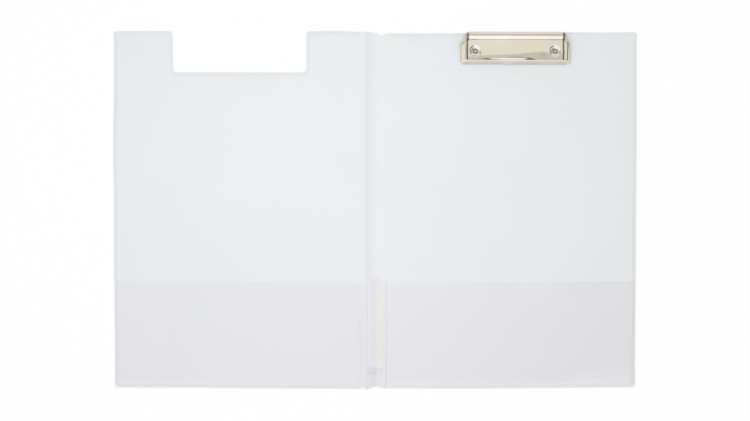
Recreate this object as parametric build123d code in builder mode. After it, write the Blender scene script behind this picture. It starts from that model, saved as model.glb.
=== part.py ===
from build123d import *
from math import atan2, cos, degrees, pi, radians, sin, sqrt
import os

# Clipboard folder, lying open with its inner side up, in millimetres. The origin is on the table
# under the middle of the spine. The back cover, which carries the clip, is at +X, the front cover
# at -X, and +Y points to the edge with the clip.

# Covers and spine
panel_width = 225.3
panel_height = 320.0
spine_width = 18.4
corner_radius = 3.0
least_radius = 0.4

# Sheets
outer_foil = 0.3
board = 1.9
inner_foil = 0.3
film = 0.2

# Welded rim round each board, and the foil's slope from the rim to the board's top
weld_width = 2.0
crease_weld = 1.8
drape_run = 0.9
board_gap = 0.05
crease_gap = 0.35

# Notch in the front cover that clears the clip when the folder is closed
notch_width = 119.5
notch_depth = 36.6
notch_radius = 3.0

# Clear pocket across the lower part of both covers
pocket_height = 96.0
pocket_slack = 0.4
film_weld = 1.3
film_crease_weld = 1.2
film_crease_gap = 0.55

# Spine ends, cut back in a shallow arc, and the pen pocket on the spine
spine_step = 1.2
spine_dip = 2.0
pen_width = 12.0
pen_rise = 5.6
pen_stop = 20.0
pen_taper = 12.0
pen_flat_rise = 0.5
mouth_rise = 3.0

# Clip base plate, from sheet steel
clip_offset = 2.95
plate_sheet = 0.8
plate_width = 86.0
plate_raise = 1.8
plate_front_setback = 25.3
bend_radius = 0.8
side_bend = 1.2
roll_radius = 3.9
roll_setback = 4.3
seat_gap = 0.05
seam_angle = 265.0
ear_gap = 0.3

# Rivets with their dishes, holes, washers and the pressed dimples for their tails
rivet_spacing = 71.4
rivet_setback = 17.8
dish_floor_radius = 2.9
dish_top_radius = 4.9
shank_radius = 1.6
shank_gap = 0.1
rivet_bore = 1.0
rivet_head_radius = 2.2
rivet_head = 0.7
rivet_head_round = 0.5
tail_radius = 2.6
tail_round = 0.27
tail_recess = 0.05
washer_radius = 4.2
washer = 0.5
dimple_gap = 0.8
dimple_depth = 1.0

# Jaw, from sheet steel, and its rod
jaw_sheet = 0.9
jaw_gap = 0.4
skirt_width = 5.9
bar_depth = 4.1
front_gap = 0.3
jaw_ridge = 4.5
lip_gap = 0.1
skirt_run = 4.3
bar_run = 1.8
jaw_corner = 3.0
ridge_round = 0.5
bar_lip = 1.5
skirt_lift = 1.2
skirt_taper = 5.5
taper_setback = 6.8
ear_radius = 3.75
arm_tip = 2.4
rod_radius = 1.25
rod_gap = 0.05
rod_fit = 0.01
rod_head_radius = 1.9
rod_head = 0.6

# Torsion springs inside the roll
wire_radius = 0.35
coil_radius = 2.55
coil_pitch = 1.2
coil_turns = 8
coil_inset = 1.6
leg_reach = 8.5
leg_bend = 0.9
leg_bend_round = 0.63
leg_gap = 0.1
leg_start = 180.0
slot_margin = 10.0
jaw_travel = 60.0

# Size of the bodies that cut right through the folder
cut_reach = 30.0

# Levels, from the table up
rim_level = outer_foil
rim_top = rim_level + inner_foil
board_top = outer_foil + board
panel_top = board_top + inner_foil
film_level = rim_top
film_roof = panel_top + pocket_slack
plate_top = panel_top + plate_raise + plate_sheet
roll_z = panel_top + seat_gap + roll_radius
jaw_foot = panel_top + lip_gap
ridge_level = panel_top + jaw_ridge

# Places in plan
crease_x = spine_width / 2
edge_y = panel_height / 2
mouth_y = -edge_y + pocket_height
notch_x = crease_x + panel_width / 2
clip_x = crease_x + panel_width / 2 + clip_offset
plate_half = plate_width / 2
plate_front = edge_y - plate_front_setback
roll_y = edge_y - roll_setback
rivet_y = edge_y - rivet_setback
bend_y = roll_y - roll_radius - bend_radius
bar_back = plate_front - front_gap
bar_front = bar_back - bar_depth
jaw_inner = plate_half + jaw_gap
jaw_half = jaw_inner + skirt_width
dimple_radius = washer_radius + dimple_gap


def cover_outline(side, rim, hinge_rim, notched):
    """Draw a cover's outline, drawn in by rim from its free edges and by hinge_rim from its crease."""
    width = panel_width - rim - hinge_rim
    convex = max(corner_radius - rim, least_radius)
    with Locations((side * (crease_x + hinge_rim + width / 2), 0)):
        RectangleRounded(width, panel_height - 2 * rim, convex)
    if notched:
        floor_y = edge_y - notch_depth - rim
        cut_width = notch_width + 2 * rim
        with Locations((side * notch_x, floor_y + notch_depth / 2)):
            Rectangle(cut_width, notch_depth, mode=Mode.SUBTRACT)
        in_reach = [
            v for v in vertices() if abs(abs(v.X - side * notch_x) - cut_width / 2) < least_radius / 2
        ]
        floor = [v for v in in_reach if abs(v.Y - floor_y) < least_radius]
        mouth = [v for v in in_reach if abs(v.Y - floor_y) >= least_radius]
        fillet(floor, radius=notch_radius + rim)
        fillet(mouth, radius=convex)


def slope_wall(thickness, rise):
    """How far in from its outer foot a draped sheet's inner side starts, at the sheet's underside."""
    slope = drape_run / rise
    return thickness * (sqrt(1 + slope**2) - slope)


def draped_sheet(side, level, thickness, rise, hinge_rim, foot, hinge_foot, notched):
    """Sheet welded flat round a cover's rim, which slopes up and lies flat over what it covers."""
    wall = slope_wall(thickness, rise)
    with BuildSketch(Plane.XY.offset(level)) as rim:
        cover_outline(side, 0, hinge_rim, notched)
    extrude(rim.sketch, amount=thickness)
    with BuildSketch(Plane.XY.offset(level + thickness)) as outer_foot:
        cover_outline(side, foot, hinge_foot, notched)
    with BuildSketch(Plane.XY.offset(level + thickness + rise)) as outer_top:
        cover_outline(side, foot + drape_run, hinge_foot + drape_run, notched)
    loft([outer_foot.sketch, outer_top.sketch], ruled=True)
    with BuildSketch(Plane.XY.offset(level)) as inner_foot:
        cover_outline(side, foot + wall, hinge_foot + wall, notched)
    with BuildSketch(Plane.XY.offset(level + rise)) as inner_top:
        cover_outline(side, foot + wall + drape_run, hinge_foot + wall + drape_run, notched)
    loft([inner_foot.sketch, inner_top.sketch], ruled=True, mode=Mode.SUBTRACT)


def board_outline(side, notched):
    """Draw the board, just inside the draped foil."""
    inset = slope_wall(inner_foil, board) + drape_run + board_gap
    cover_outline(side, weld_width + inset, crease_weld + inset, notched)


def spine_outline(gap):
    """Draw the strip between the creases, its two ends cut back in a shallow arc."""
    half = crease_x - gap
    end = edge_y - spine_step
    with BuildLine() as outline:
        Line((-half, -end), (-half, end))
        ThreePointArc((-half, end), (0, end - spine_dip), (half, end))
        Line((half, end), (half, -end))
        ThreePointArc((half, -end), (0, spine_dip - end), (-half, -end))
    make_face(outline.line)


def above_mouth(side):
    """Cut away what lies beyond a cover pocket's open edge."""
    with Locations((side * (crease_x + panel_width / 2), mouth_y, 0)):
        Box(
            2 * panel_width,
            panel_height,
            cut_reach,
            align=(Align.CENTER, Align.MIN, Align.CENTER),
            mode=Mode.SUBTRACT,
        )


# Back cover: outer foil, with a pressed dimple under each rivet
with BuildPart() as back_outer_foil:
    with BuildSketch(Plane.XY):
        cover_outline(1, 0, crease_gap, False)
    extrude(amount=outer_foil)
    with Locations((clip_x, rivet_y, 0)):
        with GridLocations(rivet_spacing, 0, 2, 1):
            Cylinder(
                dimple_radius + outer_foil,
                dimple_depth + outer_foil,
                align=(Align.CENTER, Align.CENTER, Align.MIN),
            )
            Cylinder(
                dimple_radius,
                dimple_depth,
                align=(Align.CENTER, Align.CENTER, Align.MIN),
                mode=Mode.SUBTRACT,
            )
            Cylinder(shank_radius + shank_gap, cut_reach, mode=Mode.SUBTRACT)
back_outer_foil.part.label = "back_outer_foil"

# Back cover: board, pressed in over the dimples
with BuildPart() as back_board:
    with BuildSketch(Plane.XY.offset(outer_foil)):
        board_outline(1, False)
    extrude(amount=board)
    with Locations((clip_x, rivet_y, 0)):
        with GridLocations(rivet_spacing, 0, 2, 1):
            Cylinder(
                dimple_radius + outer_foil + board_gap,
                dimple_depth + outer_foil,
                align=(Align.CENTER, Align.CENTER, Align.MIN),
                mode=Mode.SUBTRACT,
            )
            Cylinder(shank_radius + shank_gap, cut_reach, mode=Mode.SUBTRACT)
back_board.part.label = "back_board"

# Back cover: inner foil
with BuildPart() as back_inner_foil:
    draped_sheet(1, rim_level, inner_foil, board, crease_gap, weld_width, crease_weld, False)
    with Locations((clip_x, rivet_y, 0)):
        with GridLocations(rivet_spacing, 0, 2, 1):
            Cylinder(shank_radius + shank_gap, cut_reach, mode=Mode.SUBTRACT)
back_inner_foil.part.label = "back_inner_foil"

# Back cover: clear pocket
with BuildPart() as back_pocket:
    draped_sheet(
        1, film_level, film, film_roof - film_level, film_crease_gap, film_weld, film_crease_weld, False
    )
    above_mouth(1)
back_pocket.part.label = "back_pocket"

# Front cover: outer foil
with BuildPart() as front_outer_foil:
    with BuildSketch(Plane.XY):
        cover_outline(-1, 0, crease_gap, True)
    extrude(amount=outer_foil)
front_outer_foil.part.label = "front_outer_foil"

# Front cover: board
with BuildPart() as front_board:
    with BuildSketch(Plane.XY.offset(outer_foil)):
        board_outline(-1, True)
    extrude(amount=board)
front_board.part.label = "front_board"

# Front cover: inner foil
with BuildPart() as front_inner_foil:
    draped_sheet(-1, rim_level, inner_foil, board, crease_gap, weld_width, crease_weld, True)
front_inner_foil.part.label = "front_inner_foil"

# Front cover: clear pocket
with BuildPart() as front_pocket:
    draped_sheet(
        -1, film_level, film, film_roof - film_level, film_crease_gap, film_weld, film_crease_weld, False
    )
    above_mouth(-1)
front_pocket.part.label = "front_pocket"

# Spine: outer and inner foil
with BuildPart() as spine_outer_foil:
    with BuildSketch(Plane.XY):
        spine_outline(crease_gap)
    extrude(amount=outer_foil)
spine_outer_foil.part.label = "spine_outer_foil"

with BuildPart() as spine_inner_foil:
    with BuildSketch(Plane.XY.offset(rim_level)):
        spine_outline(crease_gap)
    extrude(amount=inner_foil)
spine_inner_foil.part.label = "spine_inner_foil"


def pen_section(half, rise):
    """Draw the pen sleeve's arched section on its own flat base line."""
    with BuildLine() as section:
        ThreePointArc((-half, film_level), (0, film_level + rise), (half, film_level))
        Line((half, film_level), (-half, film_level))
    make_face(section.line)


def pen_arch(half, rise, flat_rise):
    """Solid under the sleeve: full height to the taper, then sinking to the cross weld."""
    stop_y = -edge_y + pen_stop
    full_y = stop_y + pen_taper
    with BuildSketch(Plane.XZ.offset(-full_y)) as full:
        pen_section(half, rise)
    extrude(full.sketch, amount=full_y - mouth_y - mouth_rise)
    with BuildSketch(Plane.XZ.offset(-stop_y)) as flat:
        pen_section(half, flat_rise)
    loft([full.sketch, flat.sketch])


# Space inside the pen sleeve
with BuildPart() as pen_space:
    pen_arch(pen_width / 2 - film, pen_rise - film, pen_flat_rise - film)

# Spine: clear pen pocket, open at its mouth and closed by the cross weld
with BuildPart() as pen_pocket:
    with BuildSketch(Plane.XY.offset(film_level)):
        spine_outline(film_crease_gap)
    extrude(amount=film)
    pen_arch(pen_width / 2, pen_rise, pen_flat_rise)
    add(pen_space.part, mode=Mode.SUBTRACT)
    with BuildSketch(Plane.XY):
        with BuildLine():
            ThreePointArc((-crease_x, mouth_y), (0, mouth_y + mouth_rise), (crease_x, mouth_y))
            Polyline(
                (crease_x, mouth_y),
                (crease_x, panel_height),
                (-crease_x, panel_height),
                (-crease_x, mouth_y),
            )
        make_face()
    extrude(amount=cut_reach, mode=Mode.SUBTRACT)
pen_pocket.part.label = "pen_pocket"

# Clip base plate: one sheet, flat over the board, up and over the roll and back to the seam
roll_half = plate_half - plate_sheet - ear_gap
ear_x = plate_half - plate_sheet / 2
leg_radius = sqrt(coil_radius**2 + leg_bend**2)
leg_angle = leg_start + degrees(atan2(leg_bend, coil_radius))
leg_sweep = CenterArc(
    (roll_y, roll_z), leg_radius, leg_angle + slot_margin, -jaw_travel - 2 * slot_margin
)
dish_slope = atan2(plate_raise, dish_top_radius - dish_floor_radius)
dish_wall = plate_sheet / sin(dish_slope) - plate_sheet / plate_raise * (dish_top_radius - dish_floor_radius)

with BuildPart() as clip_base_plate:
    with BuildSketch(Plane.YZ.offset(clip_x)):
        inner_radius = roll_radius - plate_sheet
        seam = radians(seam_angle)
        with BuildLine():
            Line((plate_front, plate_top), (bend_y, plate_top))
            CenterArc((bend_y, plate_top + bend_radius), bend_radius, -90, 90)
            Line((roll_y - roll_radius, plate_top + bend_radius), (roll_y - roll_radius, roll_z))
            CenterArc((roll_y, roll_z), roll_radius, 180, seam_angle - 540)
            Line(
                (roll_y + roll_radius * cos(seam), roll_z + roll_radius * sin(seam)),
                (roll_y + inner_radius * cos(seam), roll_z + inner_radius * sin(seam)),
            )
            CenterArc((roll_y, roll_z), inner_radius, seam_angle, 540 - seam_angle)
            Line((roll_y - inner_radius, roll_z), (roll_y - inner_radius, plate_top + bend_radius))
            CenterArc((bend_y, plate_top + bend_radius), bend_radius + plate_sheet, 0, -90)
            Line((bend_y, plate_top - plate_sheet), (plate_front, plate_top - plate_sheet))
            Line((plate_front, plate_top - plate_sheet), (plate_front, plate_top))
        make_face()
    extrude(amount=roll_half, both=True)
    # Channel with its sides turned down onto the cover
    with BuildSketch(Plane.XZ.offset(-plate_front)):
        with Locations((clip_x, panel_top + seat_gap)):
            Rectangle(
                plate_width, plate_top - panel_top - seat_gap, align=(Align.CENTER, Align.MIN)
            )
        fillet(vertices().group_by(Axis.Y)[-1], radius=side_bend)
    extrude(amount=-(bend_y - plate_front))
    with BuildSketch(Plane.XZ.offset(-plate_front)):
        with Locations((clip_x, panel_top)):
            Rectangle(
                plate_width - 2 * plate_sheet, plate_raise, align=(Align.CENTER, Align.MIN)
            )
        fillet(vertices().group_by(Axis.Y)[-1], radius=side_bend - plate_sheet)
    extrude(amount=-(bend_y - plate_front), mode=Mode.SUBTRACT)
    # Ears that carry the rod, with a slot for the spring's moving leg
    for side in (-1, 1):
        with BuildSketch(Plane.YZ.offset(clip_x + side * ear_x)):
            with Locations((roll_y, roll_z)):
                Circle(roll_radius)
            with Locations((bend_y - roll_radius, panel_top + seat_gap)):
                Rectangle(
                    roll_y - bend_y + roll_radius,
                    plate_top - side_bend - panel_top - seat_gap,
                    align=(Align.MIN, Align.MIN),
                )
            with Locations((roll_y, roll_z)):
                Circle(rod_radius + rod_gap, mode=Mode.SUBTRACT)
            SlotArc(leg_sweep, 2 * (wire_radius + leg_gap), mode=Mode.SUBTRACT)
        extrude(amount=plate_sheet / 2, both=True)
    # Dishes that reach down to the cover, with the rivet holes
    with Locations((clip_x, rivet_y, panel_top)):
        with GridLocations(rivet_spacing, 0, 2, 1):
            Cone(
                dish_floor_radius + dish_wall,
                dish_top_radius + dish_wall,
                plate_raise,
                align=(Align.CENTER, Align.CENTER, Align.MIN),
            )
    with Locations((clip_x, rivet_y, panel_top + plate_sheet)):
        with GridLocations(rivet_spacing, 0, 2, 1):
            Cone(
                dish_floor_radius,
                dish_top_radius,
                plate_raise,
                align=(Align.CENTER, Align.CENTER, Align.MIN),
                mode=Mode.SUBTRACT,
            )
            Cylinder(shank_radius + shank_gap, cut_reach, mode=Mode.SUBTRACT)
clip_base_plate.part.label = "clip_base_plate"

# Tubular rivets: head in the dish, shank through plate, foils and board, tail rolled over the washer
head_level = panel_top + plate_sheet
washer_level = dimple_depth - washer
with BuildPart() as clip_rivets:
    with Locations((clip_x, rivet_y, tail_recess)):
        with GridLocations(rivet_spacing, 0, 2, 1):
            Cylinder(
                shank_radius,
                head_level + rivet_head - tail_recess,
                align=(Align.CENTER, Align.CENTER, Align.MIN),
            )
            Cylinder(
                tail_radius,
                washer_level - tail_recess,
                align=(Align.CENTER, Align.CENTER, Align.MIN),
            )
    with Locations((clip_x, rivet_y, head_level)):
        with GridLocations(rivet_spacing, 0, 2, 1):
            Cylinder(rivet_head_radius, rivet_head, align=(Align.CENTER, Align.CENTER, Align.MIN))
    rims = edges().filter_by(GeomType.CIRCLE).group_by(Axis.Z)
    fillet(rims[-1], radius=rivet_head_round)
    fillet(rims[0], radius=tail_round)
    with Locations((clip_x, rivet_y, 0)):
        with GridLocations(rivet_spacing, 0, 2, 1):
            Cylinder(rivet_bore, cut_reach, mode=Mode.SUBTRACT)
clip_rivets.part.label = "clip_rivets"

# Washers in the pressed dimples
with BuildPart() as rivet_washers:
    with Locations((clip_x, rivet_y, washer_level)):
        with GridLocations(rivet_spacing, 0, 2, 1):
            Cylinder(washer_radius, washer, align=(Align.CENTER, Align.CENTER, Align.MIN))
            Cylinder(shank_radius + shank_gap, cut_reach, mode=Mode.SUBTRACT)
rivet_washers.part.label = "rivet_washers"


def jaw_plan(inset_x, inset_y):
    """Draw the jaw's outline, open to the rear, drawn in at its sides and front."""
    front = bar_front + inset_y
    rear = edge_y + roll_radius
    with Locations((clip_x, front)):
        Rectangle(2 * (jaw_half - inset_x), rear - front, align=(Align.CENTER, Align.MIN))
    fillet(vertices().group_by(Axis.Y)[0], radius=jaw_corner)


# Hollow under the jaw's sloping skirts
skirt_rise = ridge_level - jaw_foot
side_wall = jaw_sheet * sqrt(1 + (skirt_run / skirt_rise) ** 2)
front_wall = jaw_sheet * sqrt(1 + (bar_run / skirt_rise) ** 2)
with BuildPart() as jaw_hollow:
    with BuildSketch(Plane.XY.offset(jaw_foot)):
        jaw_plan(side_wall, front_wall)
    with BuildSketch(Plane.XY.offset(ridge_level)):
        jaw_plan(side_wall + skirt_run, front_wall + bar_run)
    loft(ruled=True)
    with Locations((clip_x, 0, ridge_level - jaw_sheet)):
        Box(
            2 * jaw_half,
            2 * edge_y + cut_reach,
            cut_reach,
            align=(Align.CENTER, Align.CENTER, Align.MIN),
            mode=Mode.SUBTRACT,
        )
    with Locations((clip_x, bar_back - jaw_sheet, 0)):
        Box(
            2 * (jaw_inner + jaw_sheet),
            edge_y,
            cut_reach,
            align=(Align.CENTER, Align.MIN, Align.MIN),
            mode=Mode.SUBTRACT,
        )

# Jaw: a U-shaped frame round the base plate, its arms rising to the rod
with BuildPart() as clip_jaw:
    with BuildSketch(Plane.XY.offset(jaw_foot)):
        jaw_plan(0, 0)
    with BuildSketch(Plane.XY.offset(ridge_level)):
        jaw_plan(skirt_run, bar_run)
    loft(ruled=True)
    with BuildSketch(Plane.XY):
        with Locations((clip_x, bar_back)):
            Rectangle(2 * jaw_inner, edge_y, align=(Align.CENTER, Align.MIN))
    extrude(amount=cut_reach, mode=Mode.SUBTRACT)
    top_edges = faces().sort_by(Axis.Z)[-1].edges()
    front_side = [e for e in top_edges if e.center().Y < rivet_y or abs(e.center().X - clip_x) > jaw_inner]
    rear_y = max(e.center().Y for e in front_side)
    fillet([e for e in front_side if e.center().Y < rear_y - least_radius], radius=ridge_round)
    add(jaw_hollow.part, mode=Mode.SUBTRACT)
    # The bar's rear lip stays clear of the paper
    with Locations((clip_x, bar_back, panel_top)):
        Box(
            2 * jaw_inner - 2 * jaw_sheet,
            2 * jaw_sheet + least_radius,
            bar_lip,
            align=(Align.CENTER, Align.CENTER, Align.MIN),
            mode=Mode.SUBTRACT,
        )
    # The skirts lift off the cover towards the rear, and end in a slant
    with BuildSketch(Plane.YZ.offset(clip_x)):
        with BuildLine():
            Polyline(
                (bar_back, jaw_foot - seat_gap),
                (bar_back, jaw_foot),
                (roll_y, jaw_foot + skirt_lift),
                (roll_y, jaw_foot - seat_gap),
                close=True,
            )
        make_face()
    extrude(amount=jaw_half, both=True, mode=Mode.SUBTRACT)
    for side in (-1, 1):
        with BuildSketch(Plane.XY):
            with BuildLine():
                Polyline(
                    (clip_x + side * jaw_inner, edge_y - taper_setback),
                    (clip_x + side * (jaw_half + jaw_sheet), edge_y - taper_setback - skirt_taper),
                    (clip_x + side * (jaw_half + jaw_sheet), edge_y + cut_reach),
                    (clip_x + side * jaw_inner, edge_y + cut_reach),
                    close=True,
                )
            make_face()
        extrude(amount=cut_reach, mode=Mode.SUBTRACT)
    for side in (-1, 1):
        with BuildSketch(Plane.YZ.offset(clip_x + side * (jaw_inner + jaw_sheet / 2))):
            with BuildSketch(mode=Mode.PRIVATE) as arm:
                with Locations((roll_y, roll_z)):
                    Circle(ear_radius)
                with Locations((rivet_y, ridge_level - arm_tip)):
                    Rectangle(jaw_sheet, arm_tip, align=(Align.CENTER, Align.MIN))
            make_hull(arm.sketch.edges())
        extrude(amount=jaw_sheet / 2, both=True)
    with BuildSketch(Plane.YZ.offset(clip_x)):
        with Locations((roll_y, roll_z)):
            Circle(rod_radius + rod_fit)
            with PolarLocations(leg_radius, 1, leg_angle):
                Circle(wire_radius + leg_gap)
    extrude(amount=jaw_half, both=True, mode=Mode.SUBTRACT)
clip_jaw.part.label = "clip_jaw"

# Rod through the ears, its ends peened over
rod_half = jaw_inner + jaw_sheet
with BuildPart() as clip_hinge_rod:
    with Locations(Location((clip_x, roll_y, roll_z), (0, 90, 0))):
        Cylinder(rod_radius, 2 * rod_half)
    for side in (-1, 1):
        with Locations(Location((clip_x + side * (rod_half + rod_head / 2), roll_y, roll_z), (0, 90, 0))):
            Cylinder(rod_head_radius, rod_head)
    ends = faces().filter_by(Axis.X).sort_by(Axis.X)
    fillet(ends[0].edges() + ends[-1].edges(), radius=rod_head / 2)
clip_hinge_rod.part.label = "clip_hinge_rod"


def helix_point(angle, along):
    """Point of the coil at an angle, so far along its axis."""
    return Vector(
        clip_x + along,
        roll_y + coil_radius * cos(radians(angle)),
        roll_z + coil_radius * sin(radians(angle)),
    )


def helix_tangent(angle):
    """Direction of the wire at an angle, as it winds inward from the roll's end."""
    turn = 2 * pi * coil_radius
    return Vector(-coil_pitch, turn * sin(radians(angle)), -turn * cos(radians(angle))).normalized()


# Torsion spring: a moving leg through the ear, the coil, and a fixed leg under the plate
with BuildPart() as torsion_spring_right:
    with BuildLine() as wire_line:
        quarters = 4 * coil_turns - 1
        step = (360 * coil_turns - (270 - leg_start)) / quarters
        coil_start = roll_half - coil_inset
        first = helix_point(leg_start, coil_start)
        corner = first - helix_tangent(leg_start) * leg_bend
        leg_end = Vector(clip_x + jaw_inner + jaw_sheet, corner.Y, corner.Z)
        FilletPolyline(leg_end, corner, first, radius=leg_bend_round)
        for quarter in range(quarters):
            angle_a = leg_start - step * quarter
            angle_b = angle_a - step
            start = helix_point(angle_a, coil_start - coil_pitch * step * quarter / 360)
            end = helix_point(angle_b, coil_start - coil_pitch * step * (quarter + 1) / 360)
            tangent_a = helix_tangent(angle_a)
            tangent_b = helix_tangent(angle_b)
            chord = end - start
            both = tangent_a + tangent_b
            square = 4 - both.dot(both)
            reach = (sqrt(chord.dot(both) ** 2 + square * chord.dot(chord)) - chord.dot(both)) / square
            middle = (start + tangent_a * reach + end - tangent_b * reach) * 0.5
            TangentArc(start, middle, tangent=tangent_a)
            TangentArc(middle, end, tangent=wire_line.line.edges()[-1] % 1)
        Line(end, end + Vector(0, -leg_reach, 0))
    with BuildSketch(Plane(origin=leg_end, z_dir=(-1, 0, 0))):
        Circle(wire_radius)
    sweep()
torsion_spring_right.part.label = "torsion_spring_right"
print("least gap between spring turns:", coil_pitch - 2 * wire_radius)

with BuildPart() as torsion_spring_left:
    add(mirror(torsion_spring_right.part, about=Plane.YZ.offset(clip_x)))
torsion_spring_left.part.label = "torsion_spring_left"

os.makedirs("parts", exist_ok=True)
pieces = (
    back_outer_foil,
    back_board,
    back_inner_foil,
    back_pocket,
    front_outer_foil,
    front_board,
    front_inner_foil,
    front_pocket,
    spine_outer_foil,
    spine_inner_foil,
    pen_pocket,
    clip_base_plate,
    clip_rivets,
    rivet_washers,
    clip_jaw,
    clip_hinge_rod,
    torsion_spring_left,
    torsion_spring_right,
)
for piece in pieces:
    export_step(piece.part, f"parts/{piece.part.label}.step")
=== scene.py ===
import math

import bpy
import numpy as np
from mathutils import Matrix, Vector
from mathutils.geometry import delaunay_2d_cdt


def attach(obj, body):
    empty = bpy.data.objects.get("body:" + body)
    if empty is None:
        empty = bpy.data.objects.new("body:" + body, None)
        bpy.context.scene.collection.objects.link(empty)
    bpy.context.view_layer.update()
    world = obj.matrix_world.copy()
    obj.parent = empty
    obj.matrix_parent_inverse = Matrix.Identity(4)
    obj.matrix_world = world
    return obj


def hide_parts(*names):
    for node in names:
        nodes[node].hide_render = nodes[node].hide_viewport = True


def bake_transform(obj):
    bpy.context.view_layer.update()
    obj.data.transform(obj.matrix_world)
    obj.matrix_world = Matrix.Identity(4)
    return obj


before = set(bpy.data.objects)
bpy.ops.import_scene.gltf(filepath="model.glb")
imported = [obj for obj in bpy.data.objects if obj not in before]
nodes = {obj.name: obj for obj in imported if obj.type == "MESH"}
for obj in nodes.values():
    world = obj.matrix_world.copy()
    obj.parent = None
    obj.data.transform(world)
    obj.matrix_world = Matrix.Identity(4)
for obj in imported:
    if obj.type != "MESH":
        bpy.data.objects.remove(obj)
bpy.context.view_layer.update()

MM = 0.001

# Plan of the covers, in millimetres
SIDE = 234.5
END = 160.0
CORNER = 3.0
LEAST_CORNER = 0.6
CREASE = 9.2
NOTCH_LEFT = -181.6
NOTCH_RIGHT = -62.1
NOTCH_FLOOR = 123.4
MOUTH = -64.0
RIVETS = ((89.1, 142.2), (160.5, 142.2))

# Levels and thicknesses, in millimetres
OUTER_TOP = 0.3
FOIL = 0.3
FILM = 0.2
RIM = 0.6
PANEL = 2.5

# The inner foil's rise from the welds onto the board, and the board's distance from them
RAISE_START = 0.75
RAISE_RUN = 2.75
CREASE_RAISE_RUN = 4.2
BOARD_INSET = 3.6
CREASE_BOARD_INSET = 4.2

# Spacing of the meshes, in millimetres, and the points on a quarter turn
EDGE_STEP = 1.6
LINE_STEP = 1.8
CORNER_STEPS = 8
LEAST_TURN = 0.25
MERGE_PER_MM = 500


def smooth(t):
    t = np.clip(t, 0.0, 1.0)
    return t * t * (3 - 2 * t)


def drape(t):
    """Even slope from 0 to 1 with softened ends."""
    t = np.clip(t, 0.0, 1.0)
    return t - 0.055 * np.sin(2 * np.pi * t)


def spline(xs, ys, x):
    """Catmull-Rom curve through the points (xs, ys), level beyond its ends."""
    xs, ys = np.array(xs, float), np.array(ys, float)
    slopes = np.gradient(ys, xs)
    slopes[0] = slopes[-1] = 0.0
    x = np.clip(x, xs[0], xs[-1])
    i = np.clip(np.searchsorted(xs, x) - 1, 0, len(xs) - 2)
    h = xs[i + 1] - xs[i]
    t = (x - xs[i]) / h
    a, b = (1 + 2 * t) * (1 - t) ** 2, t * t * (3 - 2 * t)
    c, d = t * (1 - t) ** 2 * h, t * t * (t - 1) * h
    return a * ys[i] + b * ys[i + 1] + c * slopes[i] + d * slopes[i + 1]


def bump(u, v, u0, v0, ru, rv, turn=0.0):
    """Soft round swelling of height 1 at (u0, v0)."""
    c, s = math.cos(math.radians(turn)), math.sin(math.radians(turn))
    a = ((u - u0) * c + (v - v0) * s) / ru
    b = (-(u - u0) * s + (v - v0) * c) / rv
    return np.exp(-(a * a + b * b))


# How the soft edges of the folder lie: their drift from straight lines, in millimetres
TOP_X = (
    -234.5, -60, -27, -13.4, -9.2, -6.3, -3.6, -0.9, 1.2, 3.4, 5.2, 7.4,
    9.6, 12, 15, 22, 31, 40, 58, 72, 125, 170, 202, 223, 234.5,
)
TOP_Y = (
    -0.3, -0.1, 0.0, -0.4, -0.4, -0.65, -0.9, -1.6, -1.95, -3.45, -3.75, -3.05,
    -1.9, -1.8, -1.8, -1.5, -1.55, -1.8, -1.6, -1.5, -0.7, -0.55, -0.75, -0.5, -0.3,
)
END_X = (
    -234.5, -200, -156, -99, -31, -10, -8, -5.8, -3.6, 0,
    1.8, 4.0, 7, 10, 22, 67, 112, 165, 210, 234.5,
)
END_Y = (
    0.35, 0.1, -0.1, -0.7, -1.15, -1.55, -1.7, -1.3, -0.3, 0.55,
    0.8, 0.3, -0.65, -0.75, -0.6, -1.1, -0.75, -0.35, 0.1, 0.1,
)
SIDE_Y = (-160, -130, -80, 0, 60, 100, 128, 150, 160)
LEFT_X = (0.4, 0.5, 0.2, 0.25, -0.35, 0.4, 0.9, 0.7, 0.3)
RIGHT_X = (-0.2, -0.3, -0.15, -0.15, -0.05, -0.25, -0.4, -0.5, -0.3)

# The drift of the sides grows from this distance off the middle, over this run
SIDE_DRIFT_START = 60
SIDE_DRIFT_RUN = 170


def lie(u, v):
    """Where a point of the flat plan comes to lie on the table."""
    top = spline(TOP_X, TOP_Y, u)
    end = spline(END_X, END_Y, u)
    share = (v + END) / (2 * END)
    y = v + end * (1 - share) + top * share
    left = spline(SIDE_Y, LEFT_X, v) * smooth((-u - SIDE_DRIFT_START) / SIDE_DRIFT_RUN)
    right = spline(SIDE_Y, RIGHT_X, v) * smooth((u - SIDE_DRIFT_START) / SIDE_DRIFT_RUN)
    return u + left + right, y


def round_box(u, v, box, radius):
    """Distance outside a box (u0, v0, u1, v1) with round corners, negative inside."""
    u0, v0, u1, v1 = box
    a = np.abs(u - (u0 + u1) / 2) - ((u1 - u0) / 2 - radius)
    b = np.abs(v - (v0 + v1) / 2) - ((v1 - v0) / 2 - radius)
    outside = np.hypot(np.maximum(a, 0), np.maximum(b, 0))
    return outside + np.minimum(np.maximum(a, b), 0) - radius


def round_both(a, b, radius):
    """Distance outside the overlap of two shapes, with round corners where they meet."""
    corner = np.hypot(np.maximum(radius + a, 0), np.maximum(radius + b, 0))
    return np.minimum(-radius, np.maximum(a, b)) + corner


def rim_depth(u, v, inset=0.0):
    """How far a point of the plan lies inside the outer edge, moved in by inset."""
    edge = SIDE - inset
    radius = max(CORNER - inset, LEAST_CORNER)
    cover = round_box(u, v, (-edge, -END + inset, edge, END - inset), radius)
    notch = (NOTCH_LEFT - inset, NOTCH_FLOOR - inset, NOTCH_RIGHT + inset, 2 * END)
    return -round_both(cover, -round_box(u, v, notch, CORNER + inset), radius)


def bore(u, v):
    """Distance from the nearer rivet's axis."""
    return np.minimum(*[np.hypot(u - c[0], v - c[1]) for c in RIVETS])


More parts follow.
